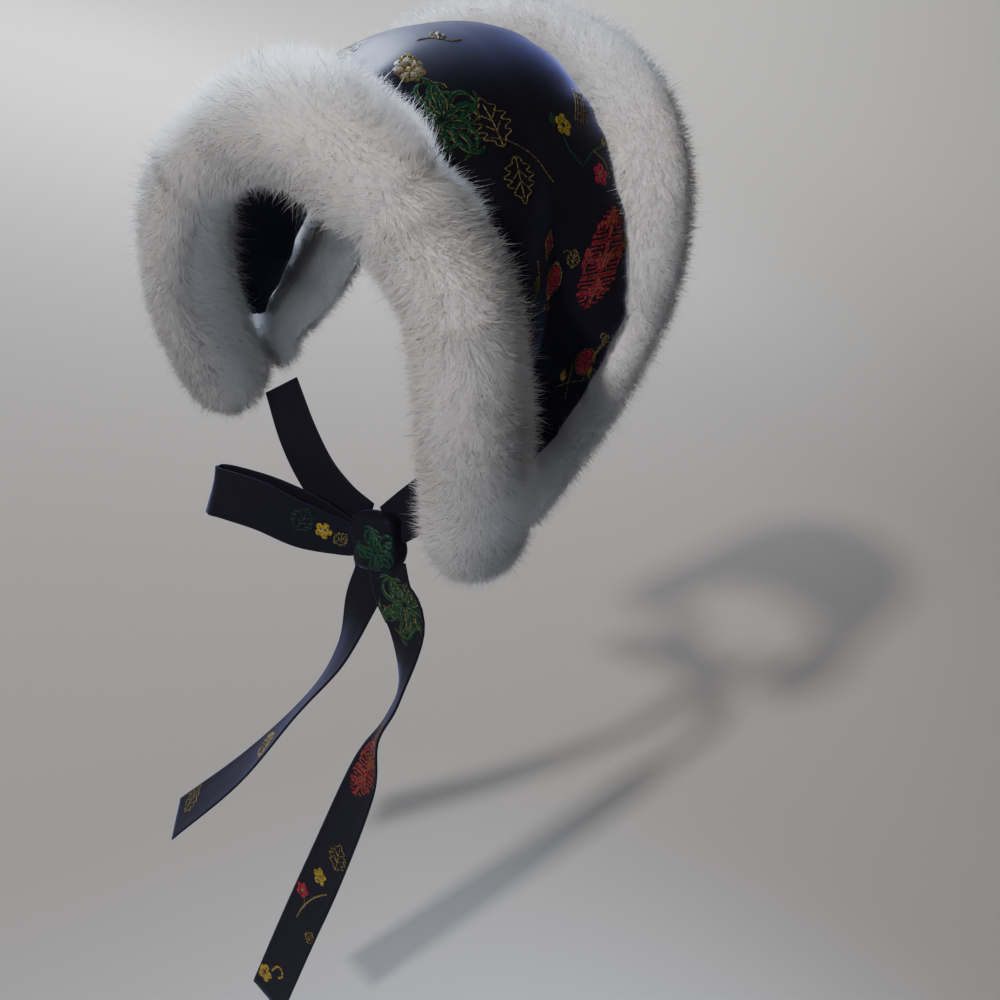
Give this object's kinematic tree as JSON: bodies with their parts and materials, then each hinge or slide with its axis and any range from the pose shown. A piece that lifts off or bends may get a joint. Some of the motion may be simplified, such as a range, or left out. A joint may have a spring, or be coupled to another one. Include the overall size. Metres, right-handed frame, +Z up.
{
  "type": "ear warmer",
  "caption": "Padded brocade band over crown and ears, edged with thick fur rolls, with flat ties in a half bow under the chin",
  "frame": {"origin": "the middle of the inner face of the band at the top of the head, where the crown of the head touches it", "axes": "+Z up along the wearer's head, -Y the way the face looks, +X toward the wearer's left ear"},
  "size_m": [0.2304, 0.1952, 0.5756],
  "materials": {
    "crown_band": "near-black navy satin brocade with woven flowers, fruit and frets",
    "front_fur_trim": "dense white fur",
    "rear_fur_trim": "dense white fur",
    "tie_left": "navy satin brocade ribbon",
    "tie_right": "navy satin brocade ribbon",
    "knot": "navy satin brocade ribbon, folded and pressed",
    "tail_short": "navy satin brocade ribbon",
    "tail_long": "navy satin brocade ribbon",
    "bow_loop": "navy satin brocade ribbon"
  },
  "bodies": {
    "root": {"crown_band": "crown_band", "front_fur_trim": "front_fur_trim", "rear_fur_trim": "rear_fur_trim", "tie_left": "tie_left", "tie_right": "tie_right", "knot": "knot", "tail_short": "tail_short", "tail_long": "tail_long", "bow_loop": "bow_loop"}
  },
  "joints": []
}
